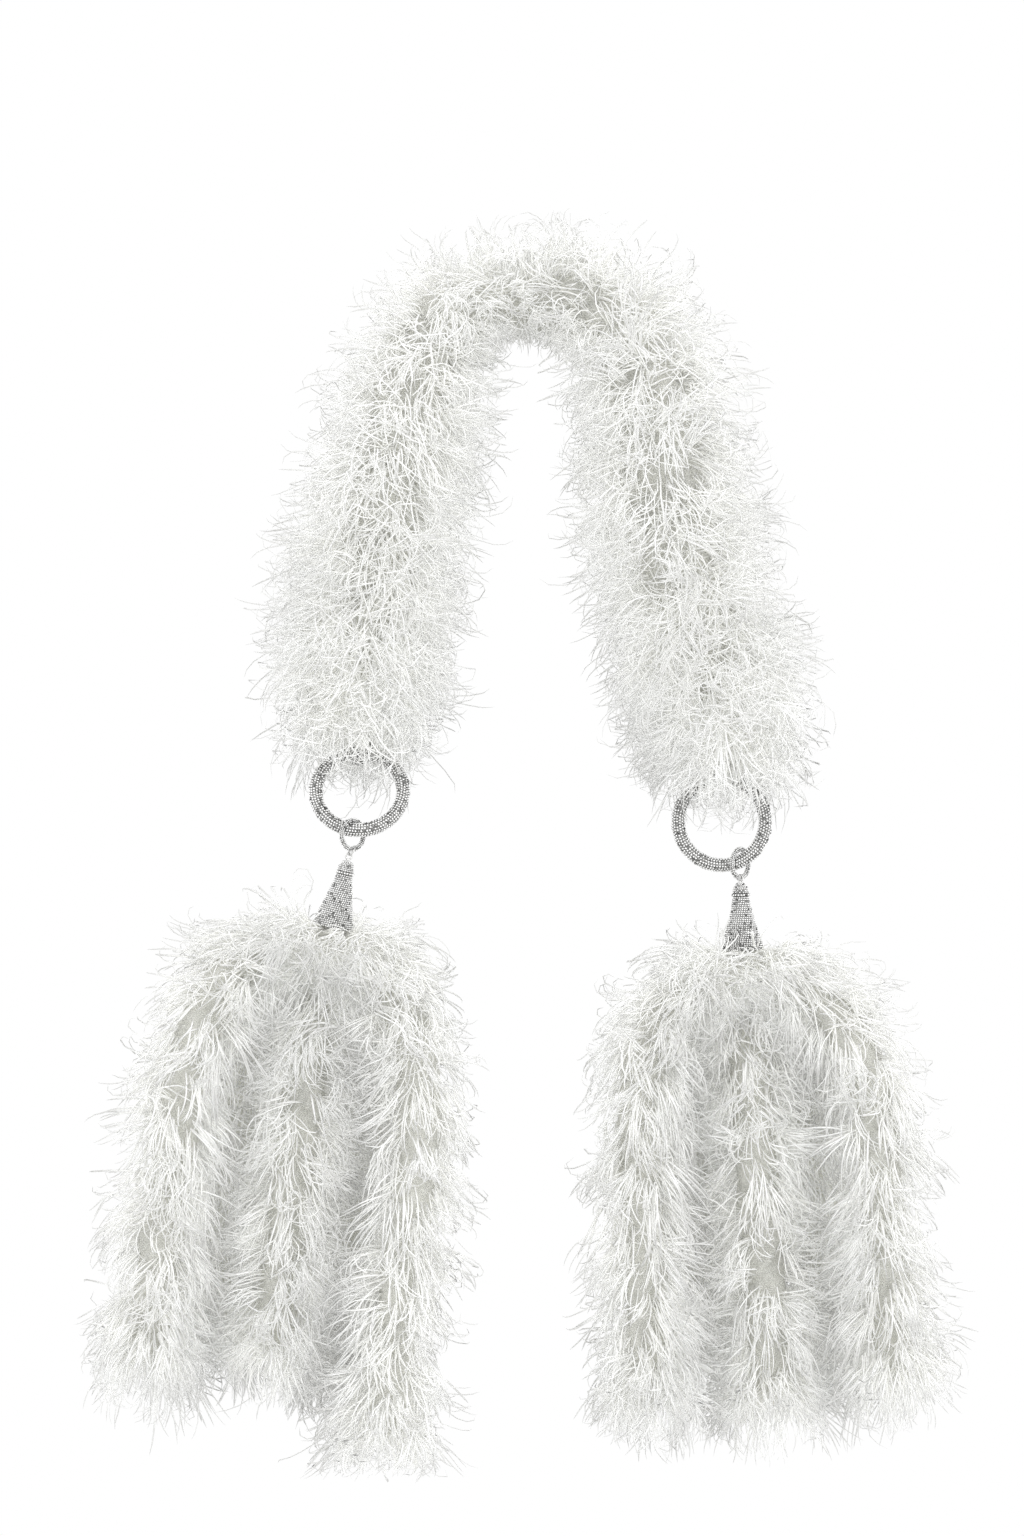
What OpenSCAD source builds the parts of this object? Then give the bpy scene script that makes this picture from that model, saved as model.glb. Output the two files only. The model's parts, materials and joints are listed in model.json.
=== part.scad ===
// Feather boa. A thick neck piece of three feather plies hangs over the neck, and each of its two
// ends carries a ring, two small links and a bell cap with a tassel of five feather strands.
// The origin is where the neck piece rests on the neck, under the top of its arch. X runs to the
// right as the boa is seen from the front, Y runs backwards and Z runs up.

/* [Neck piece] */
// Radius of the feathers on the two hanging legs
leg_r = 70; // [58:1:72]
// Radius of the feathers behind the neck
back_r = 40; // [32:1:48]
// Diameter of the cord that the plies are sewn to
core_d = 6; // [4:0.5:8]
// Turns that the plies make round the cord from end to end
ply_turns = 2.5; // [1:0.25:4]

/* [Ends of the cord] */
// Length of the crimped end cap
cap_h = 16; // [12:1:20]
// Outer diameter of the end cap
cap_d = 13; // [10:0.5:16]
// Diameter of the end cap's eye, to the middle of its wire
end_eye_d = 10; // [8:0.5:13]
// Thickness of the end eye's wire
end_eye_wire = 2.6; // [1.6:0.1:3]

/* [Rings and links] */
// Diameter of the large ring, to the middle of its tube
ring_d = 70; // [58:1:84]
// Thickness of the large ring's tube
ring_tube = 10; // [8:0.5:12]
// Diameter of a small link, to the middle of its wire
link_d = 23; // [22:0.5:28]
// Thickness of a small link's wire
link_wire = 3.2; // [2.4:0.1:3.4]
// Diameter of the left side's jump link, to the middle of its wire
jump_d = 8.6; // [8.6:0.1:10]
// Thickness of the jump link's wire
jump_wire = 1.3; // [1:0.1:1.4]

/* [Bell cap] */
// Diameter of the cap's eye, to the middle of its wire
eye_d = 5; // [5:0.1:6.5]
// Thickness of the cap eye's wire
eye_wire = 1.4; // [1.1:0.1:1.4]
// Height of the dome
dome_h = 9; // [7:0.5:11]
// Diameter of the dome at its foot
dome_d = 12.6; // [10:0.2:14]
// Diameter of the beaded collar under the dome
collar_d = 14.4; // [12:0.2:17]
// Height of the collar
collar_h = 2.6; // [2:0.2:4]
// Height of the bell
bell_h = 43; // [38:1:52]
// Diameter of the bell's top
bell_top_d = 12; // [10:0.5:14]
// Diameter of the bell's mouth
bell_mouth_d = 33; // [30:1:40]
// Thickness of the bell's wall
bell_wall = 1.5; // [1:0.1:2]
// Thickness of the plate that the strands hang from
plate_t = 2; // [1.5:0.1:3]

/* [Tassel strands] */
// Radius of the feathers on a strand
strand_r = 43; // [36:1:45]
// Length of an outer strand below the bell's mouth
strand_length = 400; // [330:5:480]
// Diameter of a strand's cord
strand_cord_d = 3; // [2.4:0.1:3.2]
// Diameter of the knot that holds a strand on its plate
knot_d = 5.4; // [5.2:0.1:5.6]

/* [Hidden] */

feather_colour = "ivory";
cord_colour = "antiquewhite";
metal_colour = "silver";

// The neck piece's cord, from the left end cap over the neck to the right end cap
route = [[-129, -70, -304], [-129, -70, -280], [-127, -70, -250], [-122, -70, -205],
    [-107, -67, -127], [-91, -50, -50], [-70, -24, 11], [-40, -7, 32], [0, 0, 40], [35, -4, 38],
    [65, -14, 29], [95, -34, -3], [108, -56, -55], [117, -67, -127], [134, -70, -205],
    [148, -70, -250], [160, -70, -280], [166, -70, -301], [166, -70, -325]];
top_point = 8;
rings_per_point = 3;
leg_reach = 110;
end_round = 45;
end_share = 0.55;
ply_gap = 1;
ply_core_share = 0.62;
ply_arc_steps = 6;

// Small gaps between pieces that move on each other, and the wires' seats
running_gap = 0.1;
fit_gap = 0.02;
link_turn = 43;
lower_link_turn = [43, 52];
jump_lean = 32;
jump_turn = 25;
left = 0;
right = 1;
ring_tilt = [28, 0];
upper_seat_turn = [0, 8];
lower_seat_turn = [-8, 25];
cap_lean = [13, -2];
hang_turn = [6, 2];
eye_turn = [jump_turn, lower_link_turn[1] + 90];

// The bell cap, measured down from the top of its dome
cap_floor = 2;
shank_d = 2;
nut_d = 6.4;
nut_h = 2.6;
bell_top = dome_h + collar_h;
bell_mouth = bell_top + bell_h;
bell_roof = 2;
plate_share = 0.64;
plate_z = bell_top + plate_share * bell_h;
hole_circle = 7;
hole_room = 1.6;
hole_d = strand_cord_d + hole_room;
knot_seat = 1.75;
knot_z = plate_z - knot_seat;
plate_bite = 0.3;

// Each strand's way out of the bell, how far it spreads, and its length beside strand_length
strand_way = [[-95, -50], [95, -50], [0, -20], [-47, 60], [47, 60]];
strand_spread = [2, 2, 0.28, 1.3, 1.3];
strand_extra = [[0, 25, -60, -30, -30], [-10, -20, -35, -45, -45]];
strand_hole = [1, 1, 0, 1, 1];
spread_length = 30;
settle_length = 110;
feather_start = 3;
feather_start_r = 2.5;
feather_grow = 125;
strand_end_round = 34;
strand_end_share = 0.5;
strand_steps = 18;
cord_sides = 8;
feather_sides = 10;
cord_bite = 0.1;

// ---- plain maths ----
function unit(v) = v / norm(v);
function clamp01(x) = min(max(x, 0), 1);
function smooth(x) = let (t = clamp01(x)) t * t * (3 - 2 * t);
function rounded(e, length, share) =
    let (t = 1 - clamp01(e / length)) sqrt(1 - t * t * (1 - share * share));
function runs(p) = [for (i = 0, d = 0; i < len(p);
    d = d + (i + 1 < len(p) ? norm(p[i + 1] - p[i]) : 0), i = i + 1) d];

// A smooth curve through the points, with per rings to each of them
function curve_point(a, b, c, d, t) =
    0.5 * (2 * b + (c - a) * t + (2 * a - 5 * b + 4 * c - d) * t * t
        + (3 * b - a - 3 * c + d) * t * t * t);
function curve(p, per) = [for (i = [0 : len(p) - 2]) for (j = [0 : per - 1])
    curve_point(p[max(i - 1, 0)], p[i], p[i + 1], p[min(i + 2, len(p) - 1)], j / per),
    p[len(p) - 1]];

// The direction of a path at ring i, and the two directions across it
function ahead(p, i) = unit(p[min(i + 1, len(p) - 1)] - p[max(i - 1, 0)]);
function across(t) = unit(cross(t, [0, 1, 0]));
function ring_of(c, t, r, sides) = let (u = across(t), v = cross(t, u))
    [for (k = [0 : sides - 1]) let (a = 360 * k / sides) c + r * (cos(a) * u + sin(a) * v)];

// A closed skin over rings of n points each. Where closing_side_turned, the side from the last
// point to the first is split along its other diagonal, as the neighbour's matching side is.
module skin(rings, closing_side_turned = false) {
    n = len(rings[0]);
    m = len(rings);
    polyhedron([for (r = rings) each r], concat(
        [for (i = [0 : m - 2]) for (j = [0 : n - 1]) let (a = i * n + j, b = i * n + (j + 1) % n)
            each (closing_side_turned && j == n - 1)
                ? [[a, a + n, b + n], [a, b + n, b]] : [[a, a + n, b], [b, a + n, b + n]]],
        [[for (j = [0 : n - 1]) j], [for (j = [n - 1 : -1 : 0]) (m - 1) * n + j]]));
}

// A closed wall between an outer and an inner skin, open at both ends
module sleeve(outer, inner) {
    n = len(outer[0]);
    m = len(outer);
    q = n * m;
    polyhedron([for (r = concat(outer, inner)) each r], concat(
        [for (i = [0 : m - 2]) for (j = [0 : n - 1]) let (a = i * n + j, b = i * n + (j + 1) % n)
            each [[a, a + n, b], [b, a + n, b + n], [q + a, q + b, q + a + n],
                [q + b, q + b + n, q + a + n]]],
        [for (j = [0 : n - 1]) let (a = j, b = (j + 1) % n, e = (m - 1) * n)
            each [[a, b, q + b], [a, q + b, q + a], [e + a, q + e + b, e + b],
                [e + a, q + e + a, q + e + b]]]));
}

module hoop(d, wire) {
    rotate_extrude($fn = 96) translate([d / 2, 0]) circle(d = wire, $fn = 32);
}

// ---- where the chain's pieces sit ----
function flat_dir(turn) = [cos(turn), sin(turn), 0];
up = [0, 0, 1];
function from_circle(q, centre, normal, r) =
    let (v = q - centre, h = v * normal, flat = norm(v - h * normal)) norm([flat - r, h]);
// How far a hoop in the plane of u and v can hang off its seat before its wire meets a circle
function hang(seat, way, r, u, v, centre, normal, circle_r, need) =
    max([for (d = [0 : 0.05 : r]) let (m = seat + d * way) if (d == 0 || min([for (a = [0 : 8 : 352])
        from_circle(m + r * (cos(a) * u + sin(a) * v), centre, normal, circle_r)]) >= need) d]);

cord_end = [route[0], route[len(route) - 1]];
link_need = (link_wire + ring_tube) / 2 + running_gap;
function ring_up(s) = [0, sin(ring_tilt[s]), cos(ring_tilt[s])];
function ring_normal(s) = [0, -cos(ring_tilt[s]), sin(ring_tilt[s])];
function rim(s, turn) = ring_d / 2 * (sin(turn) * [1, 0, 0] + cos(turn) * ring_up(s));
function end_eye_at(s) = cord_end[s] - up * (cap_floor + (end_eye_wire + end_eye_d) / 2);
function upper_link_at(s) =
    end_eye_at(s) + up * ((end_eye_wire + link_wire - end_eye_d - link_d) / 2 + running_gap);
function upper_hang(s) = hang([0, 0, 0], up, link_d / 2, flat_dir(link_turn), up,
    -rim(s, upper_seat_turn[s]), ring_normal(s), ring_d / 2, link_need);
function ring_at(s) =
    upper_link_at(s) - up * upper_hang(s) - rim(s, upper_seat_turn[s]);
function lower_seat(s) = rim(s, 180 - lower_seat_turn[s]);
function lower_hang(s) = hang(lower_seat(s), -up, link_d / 2,
    flat_dir(lower_link_turn[s]), up,
    [0, 0, 0], ring_normal(s), ring_d / 2, link_need);
function lower_link_at(s) = ring_at(s) + lower_seat(s) - up * lower_hang(s);
function lower_link_foot(s) = lower_link_at(s) - up * link_d / 2;
jump_way = -sin(jump_lean) * flat_dir(jump_turn) - cos(jump_lean) * up;
jump_side = flat_dir(jump_turn + 90);
jump_hang = hang([0, 0, 0], jump_way, jump_d / 2, jump_way, jump_side, up * link_d / 2,
    flat_dir(lower_link_turn[left] + 90), link_d / 2, (jump_wire + link_wire) / 2 + running_gap);
jump_link_at = lower_link_foot(left) + jump_hang * jump_way;
jump_foot = jump_link_at + jump_d / 2 * jump_way;
function cap_way(s) = [-sin(cap_lean[s]), 0, -cos(cap_lean[s])];
// The wire that the cap's eye hangs on, and that wire's thickness
function eye_seat(s) = s == left ? jump_foot : lower_link_foot(s);
function eye_seat_wire(s) = s == left ? jump_wire : link_wire;
function eye_at(s) = eye_seat(s)
    + cap_way(s) * ((eye_d - eye_wire - eye_seat_wire(s)) / 2 - running_gap);
function cap_at(s) = eye_at(s) + cap_way(s) * (eye_d + eye_wire) / 2;

// ---- neck piece ----
neck_path = curve(route, rings_per_point);
neck_runs = runs(neck_path);
ply_first = rings_per_point;
ply_last = len(neck_path) - 1 - rings_per_point;
function ply_radius(i) =
    let (d = abs(neck_runs[i] - neck_runs[top_point * rings_per_point]),
        e = min(neck_runs[i] - neck_runs[ply_first], neck_runs[ply_last] - neck_runs[i]))
    (back_r + (leg_r - back_r) * (1 - exp(-pow(d / leg_reach, 1.3))))
        * rounded(e, end_round, end_share);
function ply_ring(i, first_angle) =
    let (t = ahead(neck_path, i), u = across(t), v = cross(t, u), r = ply_radius(i),
        a0 = first_angle + 360 * ply_turns * neck_runs[i] / neck_runs[ply_last],
        middle = cos(a0 + 60) * u + sin(a0 + 60) * v, c = neck_path[i] + ply_gap * middle)
    concat(
        [for (k = [0 : ply_arc_steps]) let (a = a0 + 120 * k / ply_arc_steps)
            c + r * (cos(a) * u + sin(a) * v)],
        [for (k = [2 : -1 : 0]) let (a = a0 + 60 * k)
            c + ply_core_share * core_d / 2 * (cos(a) * u + sin(a) * v)]);

module neck_core_cord() {
    color(cord_colour) skin([for (i = [0 : len(neck_path) - 1])
        ring_of(neck_path[i], ahead(neck_path, i), core_d / 2, cord_sides)]);
}

module neck_ply(n) {
    color(feather_colour)
        skin([for (i = [ply_first : ply_last]) ply_ring(i, 120 * (n - 1))], closing_side_turned = true);
}

// ---- ends of the cord ----
cap_bead = 1.6;
bead_drop = 2.5;
binding_d = (cap_d + core_d) / 2;
binding_room = 0.22 * binding_d;
function binding_top(s) = (s == left ? route[1][2] : route[len(route) - 2][2]) - binding_room;

module end_binding(s) {
    foot = cord_end[s][2] - cap_floor + cap_h;
    color(cord_colour) translate([cord_end[s][0], cord_end[s][1], foot])
        difference() {
            cylinder(h = binding_top(s) - foot, d = binding_d, $fn = 48);
            translate([0, 0, -1])
                cylinder(h = binding_top(s) - foot + 2, d = core_d + fit_gap, $fn = 48);
        }
}

module end_cap(s) {
    color(metal_colour) translate(cord_end[s] - up * cap_floor) difference() {
        union() {
            cylinder(h = cap_h, d = cap_d, $fn = 48);
            translate([0, 0, cap_h - bead_drop]) hoop(cap_d, cap_bead);
        }
        translate([0, 0, cap_floor]) cylinder(h = cap_h, d = core_d + fit_gap, $fn = 48);
        translate([0, 0, -1]) cylinder(h = cap_floor + 2, d = shank_d + fit_gap, $fn = 32);
    }
}

module end_eye(s) {
    color(metal_colour) translate(end_eye_at(s)) {
        rotate([0, 0, link_turn + 90]) rotate([90, 0, 0]) hoop(end_eye_d, end_eye_wire);
        translate([0, 0, end_eye_d / 2])
            cylinder(h = end_eye_wire / 2 + cap_floor, d = shank_d, $fn = 32);
    }
}

// ---- rings and links ----
module big_ring(s) {
    color(metal_colour) translate(ring_at(s)) rotate([90 - ring_tilt[s], 0, 0])
        hoop(ring_d, ring_tube);
}

module link(at, turn) {
    color(metal_colour) translate(at) rotate([0, 0, turn]) rotate([90, 0, 0])
        hoop(link_d, link_wire);
}

module jump_link() {
    color(metal_colour) translate(jump_link_at) rotate([0, 90 + jump_lean, jump_turn])
        hoop(jump_d, jump_wire);
}

// ---- bell cap ----
module at_cap(s) {
    translate(cap_at(s)) rotate([0, cap_lean[s], 0]) children();
}

module eye_pin(s) {
    color(metal_colour) at_cap(s) {
        translate([0, 0, (eye_d + eye_wire) / 2]) rotate([0, 0, eye_turn[s]])
            rotate([90, 0, 0]) hoop(eye_d, eye_wire);
        translate([0, 0, -bell_top - bell_roof - nut_h - 1])
            cylinder(h = bell_top + bell_roof + nut_h + 1 + eye_wire / 2, d = shank_d, $fn = 32);
    }
}

// The dome's outline is a fat quarter oval, left open at its top for the eye pin
dome_top_angle = 81;
dome_fatness = 0.8;
eye_room = 0.4;

module dome(s) {
    rise = (dome_h - eye_room) / sin(dome_top_angle);
    color(metal_colour) at_cap(s) rotate_extrude($fn = 72) polygon(concat(
        [[shank_d / 2 + fit_gap, -dome_h]],
        [for (a = [0 : dome_top_angle / 9 : dome_top_angle])
            [dome_d / 2 * pow(cos(a), dome_fatness), -dome_h + rise * sin(a)]],
        [[shank_d / 2 + fit_gap, -eye_room]]));
}

module collar(s) {
    color(metal_colour) at_cap(s) difference() {
        union() {
            translate([0, 0, -bell_top]) cylinder(h = collar_h, d = collar_d - collar_h, $fn = 64);
            translate([0, 0, -bell_top + collar_h / 2]) hoop(collar_d - collar_h, collar_h);
        }
        translate([0, 0, -bell_top - 1])
            cylinder(h = collar_h + 2, d = shank_d + 2 * fit_gap, $fn = 32);
    }
}

// The bell's outer radius at a share of its height, counted down from its top
bell_flare = 1.1;
bell_steps = 12;
function bell_r(share) = (bell_top_d + (bell_mouth_d - bell_top_d) * pow(share, bell_flare)) / 2;

module bell(s) {
    roof = bell_roof / bell_h;
    color(metal_colour) at_cap(s) rotate_extrude($fn = 96) polygon(concat(
        [[shank_d / 2 + fit_gap, -bell_top]],
        [for (k = [0 : bell_steps]) let (f = k / bell_steps) [bell_r(f), -bell_top - f * bell_h]],
        [for (k = [bell_steps : -1 : 0]) let (f = roof + (1 - roof) * k / bell_steps)
            [bell_r(f) - bell_wall, -bell_top - f * bell_h]],
        [[shank_d / 2 + fit_gap, -bell_top - bell_roof]]));
}

module pin_nut(s) {
    color(metal_colour) at_cap(s) translate([0, 0, -bell_top - bell_roof - nut_h]) difference() {
        cylinder(h = nut_h, d = nut_d, $fn = 6);
        translate([0, 0, -1]) cylinder(h = nut_h + 2, d = shank_d + fit_gap, $fn = 32);
    }
}

function way_angle(n) = atan2(strand_way[n][1], strand_way[n][0]);
function hole_at(n) = hole_circle * strand_hole[n] * [cos(way_angle(n)), sin(way_angle(n)), 0];

module strand_plate(s) {
    color(metal_colour) at_cap(s) difference() {
        translate([0, 0, -plate_z - plate_t])
            cylinder(h = plate_t, r = bell_r(plate_share) - bell_wall + plate_bite, $fn = 96);
        for (n = [0 : 4]) translate(hole_at(n) - [0, 0, plate_z + plate_t + 1])
            cylinder(h = plate_t + 2, d = hole_d, $fn = 32);
    }
}

// ---- tassel strands, in the bell cap's own frame ----
function strand_step(s, n) = (strand_length + strand_extra[s][n]) / strand_steps;
function strand_heading(s, n, d) =
    let (out = [cos(way_angle(n)), sin(way_angle(n)), 0],
        turn = hang_turn[s] * smooth(d / settle_length),
        spread = strand_spread[n] * d / spread_length * exp(1 - d / spread_length))
    unit([sin(turn), 0, -cos(turn)] + spread * out);
function strand_path(s, n) = [for (i = 0, p = hole_at(n) - [0, 0, bell_mouth];
    i <= strand_steps;
    p = p + strand_step(s, n) * strand_heading(s, n, (i + 0.5) * strand_step(s, n)), i = i + 1) p];

// The knot's rings: how far each stands over the knot's middle, and its share of the swelling
knot_rings = [[2.6, 0], [2.2, 0.05], [1.2, 0.77], [0, 1], [-1.2, 0.77], [-2.2, 0.05], [-2.6, 0]];

module strand_cord(s, n) {
    path = strand_path(s, n);
    r = strand_cord_d / 2;
    color(cord_colour) at_cap(s) skin(concat(
        [for (k = knot_rings) ring_of(hole_at(n) + [0, 0, k[0] - knot_z], [0, 0, -1],
            r + (knot_d / 2 - r) * k[1], cord_sides)],
        [for (i = [0 : strand_steps])
            ring_of(path[i], i == 0 ? [0, 0, -1] : ahead(path, i), r, cord_sides)]));
}

module strand_feathers(s, n) {
    path = strand_path(s, n);
    step = strand_step(s, n);
    first = path[0] - [0, 0, feather_start];
    starts = concat([first], [for (i = [1 : strand_steps]) path[i]]);
    headings = [for (i = [0 : strand_steps]) i == 0 ? [0, 0, -1] : ahead(path, i)];
    radii = [for (i = [0 : strand_steps])
        (feather_start_r + (strand_r - feather_start_r) * smooth(i * step / feather_grow))
            * rounded((strand_steps - i) * step, strand_end_round, strand_end_share)];
    color(feather_colour) at_cap(s) sleeve(
        [for (i = [0 : strand_steps]) ring_of(starts[i], headings[i], radii[i], feather_sides)],
        [for (i = [0 : strand_steps])
            ring_of(starts[i], headings[i], strand_cord_d / 2 - cord_bite, feather_sides)]);
}

neck_core_cord();
for (n = [1 : 3]) neck_ply(n);
for (s = [left, right]) {
    side = s == left ? "left" : "right";
    end_binding(s);
    end_cap(s);
    end_eye(s);
    link(upper_link_at(s), link_turn);
    big_ring(s);
    link(lower_link_at(s), lower_link_turn[s]);
    eye_pin(s);
    dome(s);
    collar(s);
    bell(s);
    pin_nut(s);
    strand_plate(s);
    for (n = [1 : 5]) {
        strand_cord(s, n - 1);
        strand_feathers(s, n - 1);
    }
}
jump_link();  // left_jump_link
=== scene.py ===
# %% [markdown]
# # A feather boa
# A boa is a cord with ostrich feathers sewn to it. This one has a thick neck piece of three plies
# that are twisted together, and from each end hang a crystal-set ring, small links, and a bell cap
# with five feather strands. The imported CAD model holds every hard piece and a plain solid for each
# soft one. This file gives the hard pieces their crystals and finishes, and grows the feathers.

# %% Load the frame
import json
import math

import bpy
import numpy as np
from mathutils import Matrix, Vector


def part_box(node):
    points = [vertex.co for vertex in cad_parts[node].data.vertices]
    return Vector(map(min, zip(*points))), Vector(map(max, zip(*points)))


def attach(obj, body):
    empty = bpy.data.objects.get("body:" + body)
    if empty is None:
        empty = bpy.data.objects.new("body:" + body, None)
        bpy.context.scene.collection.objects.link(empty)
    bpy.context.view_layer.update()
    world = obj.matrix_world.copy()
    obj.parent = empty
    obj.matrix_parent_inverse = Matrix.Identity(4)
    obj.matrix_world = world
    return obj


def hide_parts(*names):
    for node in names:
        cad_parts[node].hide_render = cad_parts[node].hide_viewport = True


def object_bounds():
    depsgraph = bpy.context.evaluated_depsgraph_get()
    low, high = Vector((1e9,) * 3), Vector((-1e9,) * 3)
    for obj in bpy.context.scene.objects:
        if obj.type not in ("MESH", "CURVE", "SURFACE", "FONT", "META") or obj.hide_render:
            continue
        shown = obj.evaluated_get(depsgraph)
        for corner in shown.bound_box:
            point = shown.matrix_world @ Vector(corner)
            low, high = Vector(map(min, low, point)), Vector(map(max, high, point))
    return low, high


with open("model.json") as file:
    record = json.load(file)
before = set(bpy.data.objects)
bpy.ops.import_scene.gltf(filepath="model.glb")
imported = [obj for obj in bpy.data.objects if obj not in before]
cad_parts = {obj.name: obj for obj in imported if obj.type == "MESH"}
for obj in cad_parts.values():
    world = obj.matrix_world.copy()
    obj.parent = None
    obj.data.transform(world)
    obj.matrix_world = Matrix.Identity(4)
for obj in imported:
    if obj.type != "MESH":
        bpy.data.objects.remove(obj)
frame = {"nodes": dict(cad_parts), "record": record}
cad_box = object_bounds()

MM = 0.001
TAU = 2 * np.pi
cad_low, cad_high = (np.array(corner) for corner in cad_box)
cad_size = cad_high - cad_low
joints = frame["record"]["behaviour"]["joints"]
joint_at = {joint["name"]: np.array(joint["pos_m"]) for joint in joints}

# %% [markdown]
# ## Camera
# The boa hangs free and is seen straight from the front, from a little above its middle. A long
# lens far away keeps the two tassels the same size, as in a catalogue picture. Blender fits the
# sensor to the long side of the image, so the angle is the one from top to bottom. Light bounces
# many times between white feathers, so the number of bounces is raised.

# %% Camera
CAMERA_DISTANCE = 3.2
VIEW_HEIGHT = 1.2288
VIEW_SHIFT = -9.9 * MM
VIEW_RISE = 0.0523
VIEW_DEPTH = -80 * MM
middle = (cad_low + cad_high) / 2
target = np.array([middle[0] + VIEW_SHIFT, VIEW_DEPTH, middle[2] + VIEW_RISE * cad_size[2]])

camera = bpy.data.objects.new("camera", bpy.data.cameras.new("camera"))
bpy.context.scene.collection.objects.link(camera)
camera.location = target - np.array([0, CAMERA_DISTANCE, 0])
camera.rotation_euler = (math.radians(90), 0, 0)
camera.data.angle = 2 * math.atan(VIEW_HEIGHT / 2 / CAMERA_DISTANCE)
camera.data.clip_end = 50
bpy.context.scene.camera = camera
bpy.context.scene.view_settings.view_transform = "Standard"
bpy.context.scene.cycles.max_bounces = 20
bpy.context.scene.cycles.diffuse_bounces = 16
print("camera looks at", target.round(4))

# %% [markdown]
# ## Small tools for arrays
# Every new piece is worked out with numpy: whole arrays of points at once. A path is a list of
# points, and a piece that follows it needs the path's direction and two directions across it.

# %% Array tools
def unit(v):
    """Vectors along the last axis, each divided by its length."""
    return v / np.maximum(np.linalg.norm(v, axis=-1, keepdims=True), 1e-9)


def smooth(x):
    """3x^2 - 2x^3 on 0 to 1, flat at both ends."""
    t = np.clip(x, 0, 1)
    return t * t * (3 - 2 * t)


def runs(path):
    """The distance along a path at each of its points."""
    return np.append(0, np.cumsum(np.linalg.norm(np.diff(path, axis=0), axis=1)))


def directions(path):
    """Along a path at each point, and the two directions across it."""
    ahead = unit(np.gradient(path, axis=0))
    across = unit(np.cross(ahead, [0, 1, 0]))
    return ahead, across, np.cross(ahead, across)


def at_runs(path, distances, vectors=None):
    """The points of a path at those distances along it, or other vectors kept for its points."""
    along = runs(path)
    vectors = path if vectors is None else vectors
    return np.stack([np.interp(distances, along, vectors[:, k]) for k in range(3)], axis=-1)


def level(a):
    """The level directions at angles a: (cos a, sin a, 0)."""
    return np.stack([np.cos(a), np.sin(a), 0 * a], axis=-1)


def smooth_curve(points, per):
    """A Catmull-Rom curve: between b and c it is a cubic whose slope at b is (c - a) / 2."""
    p = np.array(points, float)
    before = p[np.maximum(np.arange(len(p) - 1) - 1, 0)]
    after = np.append(p[2:], p[-1:], axis=0)
    a, b, c, d = (corner[:, None] for corner in (before, p[:-1], p[1:], after))
    t = (np.arange(per) / per)[None, :, None]
    square = 2 * a - 5 * b + 4 * c - d
    cube = 3 * b - a - 3 * c + d
    curve = 0.5 * (2 * b + (c - a) * t + square * t**2 + cube * t**3)
    return np.append(curve.reshape(-1, 3), p[-1:], axis=0)


# %% [markdown]
# ## A tool for meshes
# A mesh is filled from whole arrays with foreach_set, which is far quicker than adding its points
# one by one. Numbers that a material needs, for each point or each face, go in as attributes. Each
# new piece rides on the body that carries it, so that it moves when the joints do.

# %% Mesh tool
def new_piece(name, points, faces, body, material, replaces=(), slot=None, values={}, face_values={}):
    """Makes a mesh object from arrays. faces is a list of (n, corners) arrays of point numbers."""
    mesh = bpy.data.meshes.new(name)
    sizes = np.concatenate([np.full(len(f), f.shape[1]) for f in faces])
    mesh.vertices.add(len(points))
    mesh.vertices.foreach_set("co", np.asarray(points, np.float32).ravel())
    mesh.loops.add(int(sizes.sum()))
    corners = np.concatenate([f.ravel() for f in faces])
    mesh.loops.foreach_set("vertex_index", corners.astype(np.int32))
    mesh.polygons.add(len(sizes))
    mesh.polygons.foreach_set("loop_start", (np.cumsum(sizes) - sizes).astype(np.int32))
    mesh.update(calc_edges=True)
    for domain, table in (("POINT", values), ("FACE", face_values)):
        for key, numbers in table.items():
            layer = mesh.attributes.new(key, "FLOAT", domain)
            layer.data.foreach_set("value", np.asarray(numbers, np.float32).ravel())
    piece = bpy.data.objects.new(name, mesh)
    bpy.context.scene.collection.objects.link(piece)
    mesh.materials.append(material)
    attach(piece, body)
    if replaces:
        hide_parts(*replaces)
    return piece


def skin_faces(rings, sides):
    """Quads between rings of a tube, and a face over each end, for points stored ring by ring."""
    i, j = np.meshgrid(np.arange(rings - 1), np.arange(sides), indexing="ij")
    a, b = i * sides + j, i * sides + (j + 1) % sides
    quads = np.stack([a, b, b + sides, a + sides], axis=-1).reshape(-1, 4)
    ends = np.stack([np.arange(sides)[::-1], (rings - 1) * sides + np.arange(sides)])
    return [quads, ends]


def tube(name, path, radii, sides, body, material, **facts):
    """A smooth tube: a ring of points c + r (cos a u + sin a v) at each point c of its path. The
    radius r may change along the path and around it."""
    _, u, v = directions(path)
    a = np.linspace(0, TAU, sides, endpoint=False)
    ring = np.cos(a)[None, :, None] * u[:, None] + np.sin(a)[None, :, None] * v[:, None]
    points = path[:, None] + radii[..., None] * ring
    faces = skin_faces(len(path), sides)
    piece = new_piece(name, points.reshape(-1, 3), faces, body, material, **facts)
    for face in piece.data.polygons:
        face.use_smooth = True
    return piece


# %% [markdown]
# ## Shader tools
# A material is a board of nodes. The class Value wraps one socket, so that sums on it read as plain
# Python and each one adds a Math node. Any other node comes from Board.node, which takes its type,
# then its settings, and then the values or links of its sockets.

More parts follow.
